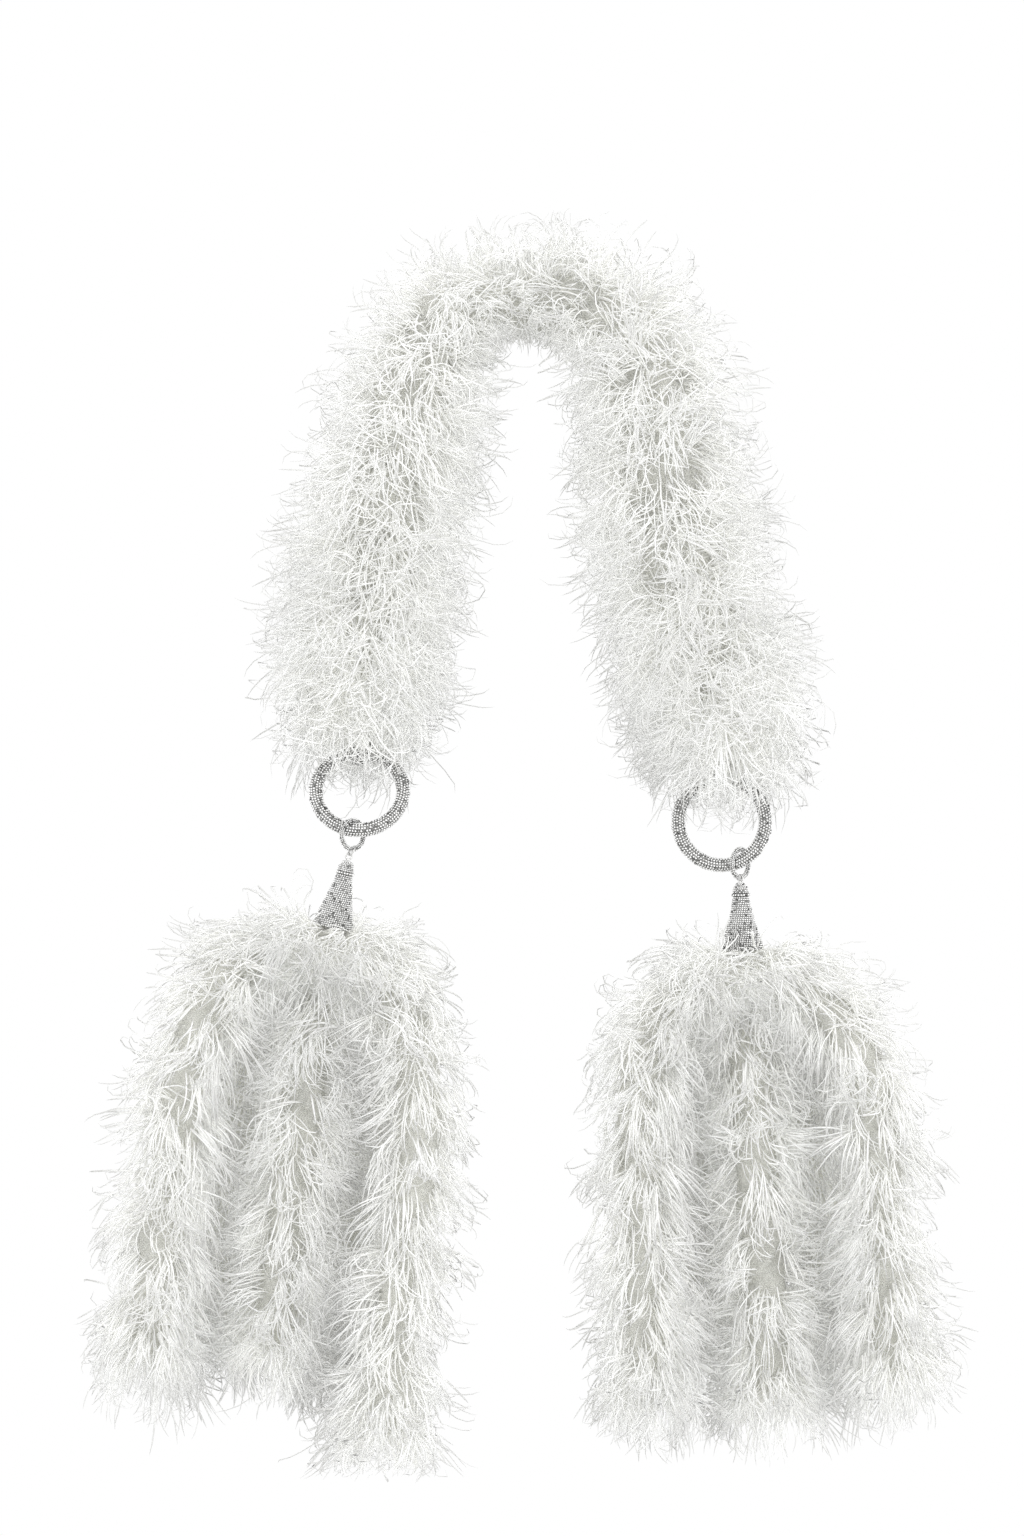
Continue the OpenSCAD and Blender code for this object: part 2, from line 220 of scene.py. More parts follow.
# %% Shader tools
class Value:
    """A number that varies over the surface, with operators that add Math nodes."""

    def __init__(self, board, socket):
        self.board = board
        self.socket = socket

    def maths(self, operation, *terms):
        return self.board.node("ShaderNodeMath", {"operation": operation}, dict(enumerate(terms)))

    def __add__(self, other):
        return self.maths("ADD", self, other)

    def __radd__(self, other):
        return self.maths("ADD", other, self)

    def __sub__(self, other):
        return self.maths("SUBTRACT", self, other)

    def __rsub__(self, other):
        return self.maths("SUBTRACT", other, self)

    def __mul__(self, other):
        return self.maths("MULTIPLY", self, other)

    def __rmul__(self, other):
        return self.maths("MULTIPLY", other, self)

    def __pow__(self, other):
        return self.maths("POWER", self, other)

    def wave(self):
        """A sine wave of the value, moved up to run from 0 to 1."""
        return self.maths("SINE", self) * 0.5 + 0.5

    def at_most(self, limit):
        return self.maths("MINIMUM", self, limit)

    def at_least(self, limit):
        return self.maths("MAXIMUM", self, limit)


class Board:
    """The nodes of a material or a world, with its main shader at hand."""

    def __init__(self, owner, shader="Principled BSDF"):
        self.owner = owner
        owner.use_nodes = True
        self.tree = owner.node_tree
        self.shader = self.tree.nodes[shader]

    def node(self, kind, settings={}, sockets={}, out=0):
        """Adds a node: its settings first, then each socket's value or link. Gives one output."""
        node = self.tree.nodes.new(kind)
        for key, setting in settings.items():
            if key == "stops":
                while len(node.color_ramp.elements) < len(setting):
                    node.color_ramp.elements.new(0.5)
                for element, (place, colour) in zip(node.color_ramp.elements, setting):
                    element.position = place
                    element.color = (*colour, 1)
            else:
                setattr(node, key, setting)
        for key, value in sockets.items():
            if isinstance(value, Value):
                self.tree.links.new(value.socket, node.inputs[key])
            else:
                node.inputs[key].default_value = value
        return Value(self, node.outputs[out])

    def attribute(self, name):
        return self.node("ShaderNodeAttribute", {"attribute_name": name}, out="Fac")

    def place(self):
        return self.node("ShaderNodeTexCoord", out="Object")

    def noise(self, scale, detail=3.0):
        sockets = {"Vector": self.place(), "Scale": scale, "Detail": detail}
        return self.node("ShaderNodeTexNoise", {}, sockets, out="Fac")

    def ramp(self, factor, *stops):
        return self.node("ShaderNodeValToRGB", {"stops": stops}, {"Fac": factor}, out="Color")

    def mix(self, factor, first, second):
        """Mixes two colours."""
        sockets = {0: factor, 6: first, 7: second}
        return self.node("ShaderNodeMix", {"data_type": "RGBA"}, sockets, out=2)

    def bump(self, height, distance, strength=1.0):
        sockets = {"Height": height, "Distance": distance, "Strength": strength}
        return self.node("ShaderNodeBump", {}, sockets, out="Normal")

    def finish(self, **values):
        """Sets the main shader's sockets, and gives the material or world."""
        for key, value in values.items():
            socket = self.shader.inputs[key.replace("_", " ")]
            if isinstance(value, Value):
                self.tree.links.new(value.socket, socket)
            else:
                socket.default_value = value
        return self.owner


def new_board(name):
    """A board for a new material of that name."""
    return Board(bpy.data.materials.new(name))


def grey(share):
    """A neutral grey, where 0 is black and 1 is white."""
    return (share, share, share, 1)


# %% [markdown]
# ## Feather finish
# An ostrich flue is a soft white thread with a fuzz of tiny barbs. Light that reaches its root has
# been through many others, so the colour is painted greyer and a little greener towards the root:
# painted shade. Each flue also has its own slight tint. Two attributes on the mesh carry this:
# "reach" is 0 at the cord and 1 at the outside of the fluff, and "tint" is one number for each flue.
# Light also passes through a flue, which a closed mesh would stop, so a very faint glow, painted
# light, stands in for it. A flue that stands apart from the rest has no lit neighbours, so past the
# outside it is painted a light grey: painted shade.

# %% Feather material
# Painted light: a faint glow on the flues and the down, for light that passes through the flues.
GLOW = 0.115
# Painted shade: the colour at the root, greyer and greener than the tip, for the light that reaches
# it through other flues.
SHADED_ROOT_WHITE = (0.925, 0.925, 0.88, 1)
TIP_WHITE = (0.975, 0.975, 0.955, 1)
COOL_WHITE = (0.98, 0.985, 0.985, 1)
# Painted shade: flues past the outside of the fluff turn to this light grey, as they have no lit
# neighbours.
STRAY_SHADE_GREY = (0.68, 0.68, 0.665, 1)
CLEAR_FROM, CLEAR_TO = 0.9, 1.15
ROOT_FADE = 0.75
BARB_SCALE = 1900.0
BARB_WHITE = 0.12


def feather_finish():
    board = new_board("ostrich_flue")
    reach = board.attribute("reach")
    tint = board.attribute("tint")
    inner = reach.at_most(1.0)
    # Painted shade: greyer and greener from the tip towards the root.
    colour = board.mix(inner ** ROOT_FADE, SHADED_ROOT_WHITE, TIP_WHITE)
    colour = board.mix(inner * tint, colour, COOL_WHITE)
    # Painted shade: past the outside of the fluff a flue turns light grey.
    stray_shade = (reach - CLEAR_FROM) * (1 / (CLEAR_TO - CLEAR_FROM))
    colour = board.mix(stray_shade.at_least(0.0).at_most(1.0), colour, STRAY_SHADE_GREY)
    fuzz = board.noise(BARB_SCALE, 2.0)
    colour = board.mix(fuzz * BARB_WHITE, colour, grey(1))
    # The glow is painted light, in the flue's own colour.
    return board.finish(Base_Color=colour, Roughness=0.5 + fuzz * 0.3,
                        Normal=board.bump(fuzz, 0.4 * MM, 0.5), Emission_Color=colour,
                        Emission_Strength=GLOW, Sheen_Weight=0.25, Sheen_Roughness=0.5,
                        Specular_IOR_Level=0.3)


def down_finish():
    """The felted fluff near the cord, with a fine fibre grain. Its colour is painted greyer and
    greener than the flues, as painted shade deep in the fluff, and it has the flues' faint painted
    glow.
    """
    board = new_board("felted_down")
    lumps = board.noise(160.0, 4.0)
    fibre = board.noise(900.0, 5.0)
    # Painted shade: the whole ramp is greyer and greener than the flues, for the shade deep in the
    # fluff. The lumps and grain within it vary at random.
    colour = board.ramp(lumps * 0.6 + fibre * 0.4,
                        (0.3, (0.74, 0.74, 0.67)), (0.7, (0.92, 0.92, 0.87)))
    # The same faint glow, painted light, as on the flues.
    return board.finish(Base_Color=colour, Roughness=0.85,
                        Normal=board.bump(fibre + lumps, 4 * MM), Emission_Color=colour,
                        Emission_Strength=GLOW, Sheen_Weight=0.2, Specular_IOR_Level=0.1)


FEATHER, DOWN = feather_finish(), down_finish()
print("feather finishes made")

# %% [markdown]
# ## Cords
# Each feather piece is sewn to a cord. The neck's cord runs from one crimped end cap over the neck
# to the other. A strand's cord starts at a knot on a plate inside the bell, comes out of the
# bell's mouth, spreads away from the other four and hangs. Both follow the same routes as the CAD
# solids. A tube is made by carrying a ring of points along the route, and two attributes, the run
# along it and the turn around it, let the material draw the cord's laid yarns.

# %% Cord material
YARN_LAY = 900.0
YARN_COUNT = 3


def cord_finish():
    board = new_board("laid_cord")
    turn = board.attribute("turn") * (YARN_COUNT * TAU)
    yarn = (board.attribute("run") * YARN_LAY + turn).wave()
    fibre = board.noise(2500.0)
    colour = board.ramp(yarn, (0.0, (0.50, 0.47, 0.40)), (0.5, (0.80, 0.78, 0.71)),
                        (1.0, (0.88, 0.86, 0.80)))
    return board.finish(Base_Color=board.mix(fibre * 0.3, colour, (0.95, 0.94, 0.9, 1)),
                        Roughness=0.7 + fibre * 0.2,
                        Normal=board.bump(yarn * 0.8 + fibre * 0.2, 0.5 * MM))


CORD = cord_finish()

# %% [markdown]
# ## Neck cord
# The route follows the middle of the neck piece: up one leg, back over the arch and down the other.
# Its points are in millimetres, and a smooth curve goes through them.

# %% Neck cord
ROUTE = [[-129, -70, -304], [-129, -70, -280], [-127, -70, -250], [-122, -70, -205],
         [-107, -67, -127], [-91, -50, -50], [-70, -24, 11], [-40, -7, 32], [0, 0, 40], [35, -4, 38],
         [65, -14, 29], [95, -34, -3], [108, -56, -55], [117, -67, -127], [134, -70, -205],
         [148, -70, -250], [160, -70, -280], [166, -70, -301], [166, -70, -325]]
ROUTE_STEPS = 8
ROUTE_TOP = ROUTE.index([0, 0, 40])
NECK_CORD_D = 6 * MM
STRAND_CORD_D = 3 * MM
CORD_SIDES = 10


def cord_tube(name, path, radii, body, node, **facts):
    """A round cord with its run and turn at each point, in place of the plain cord from CAD."""
    run = np.repeat(runs(path), CORD_SIDES)
    turn = np.tile(np.linspace(0, 1, CORD_SIDES, endpoint=False), len(path))
    piece = tube(name, path, radii[:, None], CORD_SIDES, body, CORD, replaces=[node], slot="cord",
                 values={"run": run, "turn": turn})


neck_path = smooth_curve(ROUTE, ROUTE_STEPS) * MM
neck_radii = np.full(len(neck_path), NECK_CORD_D / 2)
cord_tube("neck_cord", neck_path, neck_radii, "neck", "neck_core_cord",
          diameter=NECK_CORD_D, far_end="object", stiffness="medium", lay="hanging")
print("neck cord", round(runs(neck_path)[-1], 3), "m")

# %% [markdown]
# ## Strand cords
# Each bell has five cords. Inside the bell a cord runs straight down from its knot. From the mouth
# it goes on in steps, first outwards and then more and more straight down, as a limp cord hangs.
# The bells don't hang quite upright, so the direction down turns a little in the bell's own frame.

# %% Strand routes
SIDES = ("left", "right")
KNOT_DEPTH = 37.37 * MM
BELL_MOUTH = 54.6 * MM
HOLE_CIRCLE = 7 * MM
STRAND_LENGTH = 400 * MM
STRAND_WAY = np.array([[-95, -50], [95, -50], [0, -20], [-47, 60], [47, 60]])
STRAND_SPREAD = [2, 2, 0.28, 1.3, 1.3]
STRAND_EXTRA = {"left": [0, 25, -60, -30, -30], "right": [-10, -20, -35, -45, -45]}
HANG_TURN = {"left": math.radians(6), "right": math.radians(2)}
SPREAD_LENGTH = 30 * MM
SETTLE_LENGTH = 110 * MM
STRAND_STEPS = 72
INSIDE_STEPS = 6
MIDDLE_STRAND = 2


def cap_frame(side):
    """The top of a bell cap's dome, and the cap's own three directions, from its joints."""
    knot, seat = joint_at[f"{side}_strand_3_swing"], joint_at[f"{side}_cap_swing"]
    up = unit(np.array([seat[0] - knot[0], 0, seat[2] - knot[2]]))
    return knot + KNOT_DEPTH * up, np.array([np.cross([0, 1, 0], up), [0, 1, 0], up])


def strand_path(side, n):
    """The strand's route in the cap's frame: steps along down + a turn that settles + a spread that
    rises and dies away, d e^(1 - d), then placed on the cap."""
    step = (STRAND_LENGTH + STRAND_EXTRA[side][n] * MM) / STRAND_STEPS
    out = unit(np.append(STRAND_WAY[n], 0).astype(float))
    hole = HOLE_CIRCLE * out * (n != MIDDLE_STRAND)
    d = (np.arange(STRAND_STEPS) + 0.5) * step
    turn = HANG_TURN[side] * smooth(d / SETTLE_LENGTH)
    spread = STRAND_SPREAD[n] * d / SPREAD_LENGTH * np.exp(1 - d / SPREAD_LENGTH)
    down = np.stack([np.sin(turn), 0 * turn, -np.cos(turn)], axis=-1)
    moves = step * unit(down + spread[:, None] * out)
    free = hole - [0, 0, BELL_MOUTH] + np.append([[0, 0, 0]], np.cumsum(moves, axis=0), axis=0)
    depths = np.linspace(KNOT_DEPTH, BELL_MOUTH, INSIDE_STEPS + 1)[:-1, None]
    inside = hole - depths * [[0, 0, 1]]
    at, axes = cap_frame(side)
    return at + np.append(inside, free, axis=0) @ axes


strand_paths = {(side, n): strand_path(side, n) for side in SIDES for n in range(5)}
print("strand cords", [round(float(runs(p)[-1]), 3) for p in strand_paths.values()])

# %% [markdown]
# ## Knots
# A knot at the start of each strand's cord holds it above the plate in the bell, and one near its
# end keeps the last feathers on. A knot this small is a bulge: the radius grows along a bell curve.

# %% Strand cords with their knots
KNOT_R = 2.7 * MM
TOP_KNOT_HALF = 1.6 * MM
END_KNOT_HALF = 2.5 * MM
END_KNOT_UP = 3 * MM


def bulge(distance, half_width):
    """A bell curve, e^-(d / w)^2."""
    return np.exp(-((distance / half_width) ** 2))


for (side, n), path in strand_paths.items():
    along = runs(path)
    knots = bulge(along, TOP_KNOT_HALF) + bulge(along[-1] - along - END_KNOT_UP, END_KNOT_HALF)
    radii = STRAND_CORD_D / 2 + (KNOT_R - STRAND_CORD_D / 2) * knots
    cord_tube(f"{side}_strand_cord_{n + 1}_laid", path, radii, f"{side}_strand_{n + 1}",
              f"{side}_strand_cord_{n + 1}", diameter=STRAND_CORD_D, far_end="knot",
              stiffness="limp", lay="hanging")
print("knots on", len(strand_paths), "cords")

# %% [markdown]
# ## Flues
# A boa's fluff is tens of thousands of flues, each a thin tapered thread, 5 to 9 cm long, with a
# curled tip. Particle hair would make them quickly, but it doesn't leave a mesh, so each flue is
# worked out as a three-sided prism that follows a bending line. Its steps get shorter towards the
# tip, where it curls most. A few flues would leave the space kept for the fluff, and those are made
# smaller as a whole, because cutting them off would leave a flat face on the fluff.

# %% Flue shape
FLUE_STOPS = np.array([0, 0.24, 0.45, 0.62, 0.77, 0.89, 1])
FLUE_SIDES = 3
FLUE_FLATNESS = 0.6
FLUE_TAPER = 0.5
SPACE_BEYOND = 0.022 * cad_size + 8 * MM


def flues(rng, roots, start, lengths, widths, droop, bend, hook, side):
    """Each flue turns from its start direction towards side by bend sin(5 t) + hook t^3, and falls
    by droop t. Its points are its root plus the running sum of these directions, shrunk towards
    the root where they would leave the space kept for the fluff."""
    t = (FLUE_STOPS[1:] + FLUE_STOPS[:-1]) / 2
    steps = np.diff(FLUE_STOPS)
    angle = bend[:, None] * np.sin(5 * t) + hook[:, None] * t**3
    ways = np.cos(angle)[..., None] * start[:, None] + np.sin(angle)[..., None] * side[:, None]
    ways = unit(ways + (droop[:, None] * t)[..., None] * np.array([0, 0, -1.0]))
    moves = ways * (lengths[:, None] * steps)[..., None]
    line = np.concatenate([np.zeros_like(moves[:, :1]), np.cumsum(moves, axis=1)], axis=1)
    above = (cad_high + SPACE_BEYOND - roots) / np.maximum(line.max(axis=1), 1e-6)
    below = (roots - cad_low + SPACE_BEYOND) / np.maximum(-line.min(axis=1), 1e-6)
    room = np.minimum(above, below).min(axis=1)
    room = np.where(room < 1, room * rng.uniform(0.75, 1, len(roots)), 1)
    line = roots[:, None] + line * room[:, None, None]
    ways = np.concatenate([ways[:, :1], unit(ways[:, 1:] + ways[:, :-1])], axis=1)
    flat = np.cross(start, side)[:, None]
    flat = unit(flat - (flat * ways).sum(-1, keepdims=True) * ways)
    thin = np.cross(ways, flat)
    a = TAU * np.arange(FLUE_SIDES) / FLUE_SIDES + np.pi / 2
    width = widths[:, None] * (1 - FLUE_TAPER * FLUE_STOPS[:-1] ** 3)[None]
    ring = np.cos(a)[:, None] * flat[:, :, None]
    ring = ring + FLUE_FLATNESS * np.sin(a)[:, None] * thin[:, :, None]
    rings = line[:, :-1, None] + width[..., None, None] / 2 * ring
    return np.concatenate([rings.reshape(len(roots), -1, 3), line[:, -1:]], axis=1)


def flue_faces(count):
    """The faces of every flue: quads between its rings, three at its tip and one at its root."""
    bands = len(FLUE_STOPS) - 2
    tip = (bands + 1) * FLUE_SIDES
    first = (np.arange(count) * (tip + 1))[:, None]
    k, j = np.meshgrid(np.arange(bands), np.arange(FLUE_SIDES), indexing="ij")
    a = (k * FLUE_SIDES + j).ravel()
    b = (k * FLUE_SIDES + (j + 1) % FLUE_SIDES).ravel()
    quads = np.stack([a, b, b + FLUE_SIDES, a + FLUE_SIDES], axis=-1)
    last = tip - FLUE_SIDES + np.arange(FLUE_SIDES)
    tips = np.stack([last, np.roll(last, -1), np.full(FLUE_SIDES, tip)], axis=-1)
    root = np.array([[2, 1, 0]])
    return [(first[:, None] + corners[None]).reshape(-1, corners.shape[1])
            for corners in (quads, tips, root)]


def feather_piece(name, rng, plan, body, node):
    """A mesh of flues from a plan. reach is a point's distance from the cord over the fluff's
    radius, envelope, at its root."""
    keys = ("roots", "start", "lengths", "widths", "droop", "bend", "hook", "side")
    points = flues(rng, *[plan[key] for key in keys])
    count, per = points.shape[:2]
    reach = np.linalg.norm(points - plan["axis"][:, None], axis=-1) / plan["envelope"][:, None]
    tint = np.repeat(plan["tint"][:, None], per, axis=1)
    return new_piece(name, points.reshape(-1, 3), flue_faces(count), body, FEATHER,
                     replaces=[node], slot="feather",
                     values={"reach": np.clip(reach, 0, 2), "tint": tint})


print("a flue has", len(FLUE_STOPS) - 1, "rings and a tip")

# %% [markdown]
# ## Locks
# Flues stick together in locks of nine. All the flues of a lock share a place on the cord, a
# direction, a droop, a bend and a curl, with small differences, and that is what makes fluff look
# like fluff and not like a brush. Some flues are wisps, longer and thinner than the rest.

# %% Locks
PER_LOCK = 9
PLACE_SPREAD = 2.5 * MM
FLUE_WIDTH = (1.3 * MM, 2.0 * MM)
WISP_SHARE = 0.07
WISP_LONGER, WISP_THINNER = 1.2, 0.7


def spread_locks(rng, count, low, high, crowd, slack=0.0):
    """The lock number and the place of each flue, from low to high. The share f of the way becomes
    f - crowd sin(2 pi f) / 2 pi, which crowds them towards both ends."""
    locks = math.ceil(count / PER_LOCK)
    lock = np.repeat(np.arange(locks), PER_LOCK)[:count]
    f = (np.arange(locks) + rng.random(locks)) / locks
    place = low + (high - low) * (f - crowd * np.sin(TAU * f) / TAU)
    return lock, np.clip(place[lock] + rng.normal(0, PLACE_SPREAD, count), low - slack, high + slack)


def normals(rng, lock, by_lock, by_flue, *shape):
    """Normal numbers around 0: one for each lock, plus a smaller one for each flue."""
    shared = rng.normal(0, by_lock, (lock[-1] + 1, *shape))[lock]
    return shared + rng.normal(0, by_flue, (len(lock), *shape))


def lock_values(rng, lock, low, high):
    """An even number between low and high for each lock."""
    return rng.uniform(low, high, lock[-1] + 1)[lock]


def around(path, s, theta):
    """At places s of a path and angles theta: the point, the way along and the way out."""
    ahead, u, v = (unit(at_runs(path, s, way)) for way in directions(path))
    return at_runs(path, s), ahead, np.cos(theta)[:, None] * u + np.sin(theta)[:, None] * v


def habits(rng, lock, lengths, wisp, droop, more_droop, hook, more_hook):
    """Each flue's length, width, droop, bend, curl (hook) and tint."""
    count = len(lock)
    return {
        "lengths": lengths * rng.uniform(0.86, 1.1, count) * np.where(wisp, WISP_LONGER, 1.0),
        "widths": rng.uniform(*FLUE_WIDTH, count) * np.where(wisp, WISP_THINNER, 1.0),
        "droop": lock_values(rng, lock, *droop) + more_droop,
        "bend": normals(rng, lock, 0.3, 0.15),
        "hook": lock_values(rng, lock, *hook) + rng.normal(0, 0.55, count) + wisp + more_hook,
        "tint": lock_values(rng, lock, 0, 1) * 0.6 + rng.random(count) * 0.4,
    }


# %% [markdown]
# ## Neck feathers
# Three plies wind round the cord, each a third of the way round. Behind the neck the flues are
# short, about 4 cm, and on the two legs they are 8 cm. They stand out from the cord, lean towards
# the nearer end and droop under their own weight. At each end they hang over the end cap like a
# skirt, and those in front of a ring are shorter, so that the ring stays in sight.

# %% Neck sizes
NECK_FLUES = 5700
LEG_R = 78 * MM
BACK_R = 47 * MM
LEG_REACH = 110 * MM
RIGHT_GROWS_FASTER = 1.3
PLY_TURNS = 2.5
END_LENGTH = 60 * MM
ARCH_LENGTH = 95 * MM
neck_along = runs(neck_path)
neck_length = neck_along[-1]
neck_top = neck_along[ROUTE_TOP * ROUTE_STEPS]
neck_first = neck_along[ROUTE_STEPS]
neck_last = neck_along[-1 - ROUTE_STEPS]


def neck_envelope(s):
    """The fluff's radius: small at the top of the arch, growing to the legs' radius."""
    d = np.where(s < neck_top, neck_top - s, (s - neck_top) * RIGHT_GROWS_FASTER)
    return BACK_R + (LEG_R - BACK_R) * (1 - np.exp(-((d / LEG_REACH) ** 1.3)))


print("fluff radius from", neck_envelope(neck_top), "to", neck_envelope(neck_first).round(4), "m")

# %% [markdown]
# ## Where the neck's flues start
# Each flue has a root near the cord and a start direction. The direction is the way out from the
# cord, leant a few degrees towards the end of the neck piece, more on the legs than on the arch and
# most at the ends, and then moved a little by chance.

# %% Neck flues
def neck_plan(rng, ply):
    """Where each flue of a ply starts and how it bends."""
    low, high = neck_first - 6 * MM, neck_last + 6 * MM
    lock, s = spread_locks(rng, NECK_FLUES, low, high, 0.6, slack=2 * MM)
    count = len(lock)
    turn = TAU * (ply / 3 + PLY_TURNS * s / neck_length)
    theta = turn + TAU / 3 * (lock_values(rng, lock, 0, 1) + rng.normal(0, 0.035, count))
    axis, ahead, radial = around(neck_path, s, theta)
    on_right = s > neck_top
    from_top = np.abs(s - neck_top)
    on_arch = np.exp(-((from_top / ARCH_LENGTH) ** 2))
    at_end = 1 - smooth(np.minimum(s - neck_first, neck_last - s) / END_LENGTH)
    envelope = neck_envelope(s) * (1 + 0.36 * on_arch * (radial[:, 2] - 0.2))
    lean = np.radians(10 + 16 * smooth(from_top / (150 * MM)) + 22 * at_end)
    lean = lean + np.radians(normals(rng, lock, 17, 7))
    to_end = np.where(on_right, 1.0, -1.0) * smooth(from_top / (60 * MM))
    start = np.cos(lean)[:, None] * radial + (np.sin(lean) * to_end)[:, None] * ahead
    start[:, 0] -= 0.3 * at_end * on_right
    start = unit(start + normals(rng, lock, 0.36, 0.13, 3))
    side = unit(np.cross(start, normals(rng, lock, 1, 0.6, 3)))
    wisp = rng.random(count) < WISP_SHARE
    root = rng.uniform(0.06, 0.5, count) * (1 - 0.5 * at_end)
    over_ring = np.clip(-radial[:, 1], 0, 1) * at_end * np.where(on_right, 0.4, 1.0)
    shorter = 1 + 0.2 * at_end - 0.5 * over_ring
    lengths = envelope * (1.08 - 0.42 * root) * shorter * lock_values(rng, lock, 0.85, 1.1)
    return {
        "axis": axis, "envelope": envelope, "start": start, "side": side,
        "roots": axis + (root * envelope)[:, None] * radial,
        **habits(rng, lock, lengths, wisp, (0.2, 0.6), 0.25 * at_end, (0.9, 3.3), 0.8 * at_end),
    }


for ply in range(3):
    rng = np.random.default_rng(100 + ply)
    plan = neck_plan(rng, ply)
    piece = feather_piece(f"neck_flues_{ply + 1}", rng, plan, "neck", f"neck_ply_{ply + 1}")
    print(piece.name, len(piece.data.polygons), "faces")

# %% [markdown]
# ## Tassel strands
# Each strand is a thin boa of its own. At its top the flues stand almost straight out, so the
# tassel is wide from the bell's mouth, and further down they lie along the cord like a fox's tail.
# Some locks lie flat on the others. The flues that point into the tassel are a little longer, so
# that they close the gaps between the strands.

# %% Tassel strands
STRAND_FLUES = 3120
STRAND_R = 54 * MM
STRAND_LIE = [42, 42, 18, 35, 35]
LYING_SHARE = 0.3
LYING_LEAN = 66
STEEPEST_RISE = 0.25


def strand_plan(rng, path, lie, inward):
    """Where each flue of a strand starts and how it bends. lie is its lean in degrees."""
    path = path[INSIDE_STEPS:]
    length = runs(path)[-1]
    lock, s = spread_locks(rng, STRAND_FLUES, 1 * MM, length, 0.45)
    count = len(lock)
    theta = TAU * lock_values(rng, lock, 0, 1) + rng.normal(0, 0.12, count)
    axis, ahead, radial = around(path, s, theta)
    at_top = 1 - smooth(s / (90 * MM))
    at_end = 1 - smooth((length - s) / (45 * MM))
    lying = lock_values(rng, lock, 0, 1) < LYING_SHARE
    lean = np.where(lying, LYING_LEAN, lie * (1 - 0.5 * at_top - 0.25 * at_end))
    lean = np.radians(lean) + np.radians(normals(rng, lock, 13, 8))
    start = np.cos(lean)[:, None] * radial + np.sin(lean)[:, None] * ahead
    start = start + normals(rng, lock, 0.3, 0.13, 3)
    start[:, 2] = np.minimum(start[:, 2], STEEPEST_RISE)
    start = unit(start)
    side = unit(np.cross(start, normals(rng, lock, 1, 0.6, 3)))
    wisp = rng.random(count) < WISP_SHARE
    root = np.where(lying, rng.uniform(0.3, 0.62, count), rng.uniform(0.03, 0.5, count))
    root = root * smooth(s / (40 * MM) + 0.1)
    longer = 1 + 0.16 * radial @ inward
    lengths = STRAND_R * (1.16 - 0.42 * root) * longer * lock_values(rng, lock, 0.85, 1.1)
    more_droop = 0.3 * at_top + 0.5 * at_end
    return {
        "axis": axis, "envelope": np.full(count, 0.9 * STRAND_R), "start": start, "side": side,
        "roots": axis + (root * STRAND_R)[:, None] * radial,
        **habits(rng, lock, lengths, wisp, (0.3, 0.8), more_droop, (0.7, 3.1), 0.0),
    }


for number, ((side, n), path) in enumerate(strand_paths.items()):
    rng = np.random.default_rng(200 + number)
    inward = (cap_frame(side)[0] - path[len(path) // 2]) * [1, 1, 0]
    inward = inward / (np.linalg.norm(inward) + 1 * MM)
    plan = strand_plan(rng, path, STRAND_LIE[n], inward)
    piece = feather_piece(f"{side}_strand_flues_{n + 1}", rng, plan, f"{side}_strand_{n + 1}",
                          f"{side}_strand_feathers_{n + 1}")
print("strand flues", len(piece.data.polygons), "faces each")

# %% [markdown]
# ## Down
# Close to the cord the flues are so thick that they read as felt. A lumpy body, about half as wide
# as the fluff, stands for it and stops the light that a few thousand flues would let through.

# %% Down
WAVES = 10
WAVE_HEIGHT = 0.035
END_GAP = 4 * MM
NECK_DOWN_SHARE = 0.42
STRAND_DOWN_SHARE = 0.3
NECK_ROUND = 30 * MM
STRAND_ROUND = 20 * MM


def rounded(distance, length):
    """A share of the radius that closes towards an end, as a square root does."""
    return np.sqrt(np.clip(distance / length, 0.02, 1))


def down_body(name, path, radii, body, seed, sides=24):
    """A tube whose radius is r (1 + lumps), with lumps a sum of sine waves along and around it."""
    rng = np.random.default_rng(seed)
    a = np.linspace(0, TAU, sides, endpoint=False)
    waves = rng.integers(2, 9, (WAVES, 1, 1)) * a[None, None]
    waves = waves + rng.uniform(60, 420, (WAVES, 1, 1)) * runs(path)[None, :, None]
    lumps = np.sin(waves + rng.uniform(0, 6.28, (WAVES, 1, 1))).sum(axis=0) * WAVE_HEIGHT
    tube(name, path, radii[:, None] * (1 + lumps), sides, body, DOWN, slot="feather")


s = np.linspace(neck_first + END_GAP, neck_last - END_GAP, 120)
end = np.minimum(s - s[0], s[-1] - s)
radii = NECK_DOWN_SHARE * neck_envelope(s) * rounded(end, NECK_ROUND)
down_body("neck_down", at_runs(neck_path, s), radii, "neck", 300, 40)
for number, ((side, n), path) in enumerate(strand_paths.items()):
    along = runs(path)
    s = np.linspace(along[INSIDE_STEPS + 2] + END_GAP, along[-1] - END_GAP, 50)
    grow = 0.12 + 0.88 * smooth((s - s[0]) / (90 * MM))
    radii = STRAND_DOWN_SHARE * STRAND_R * grow * rounded(s[-1] - s, STRAND_ROUND)
    down_body(f"{side}_strand_down_{n + 1}", at_runs(path, s), radii,
              f"{side}_strand_{n + 1}", 310 + number)
print("down bodies made")

# %% [markdown]
# ## Metal finishes
# The settings under the crystals are silver-plated, with a dimple where each stone sits, so a
# Voronoi pattern in the piece's own space gives them dark seams. Plain pieces, such as the eyes,
# the crimped caps and the jump link, are polished silver with faint smears.

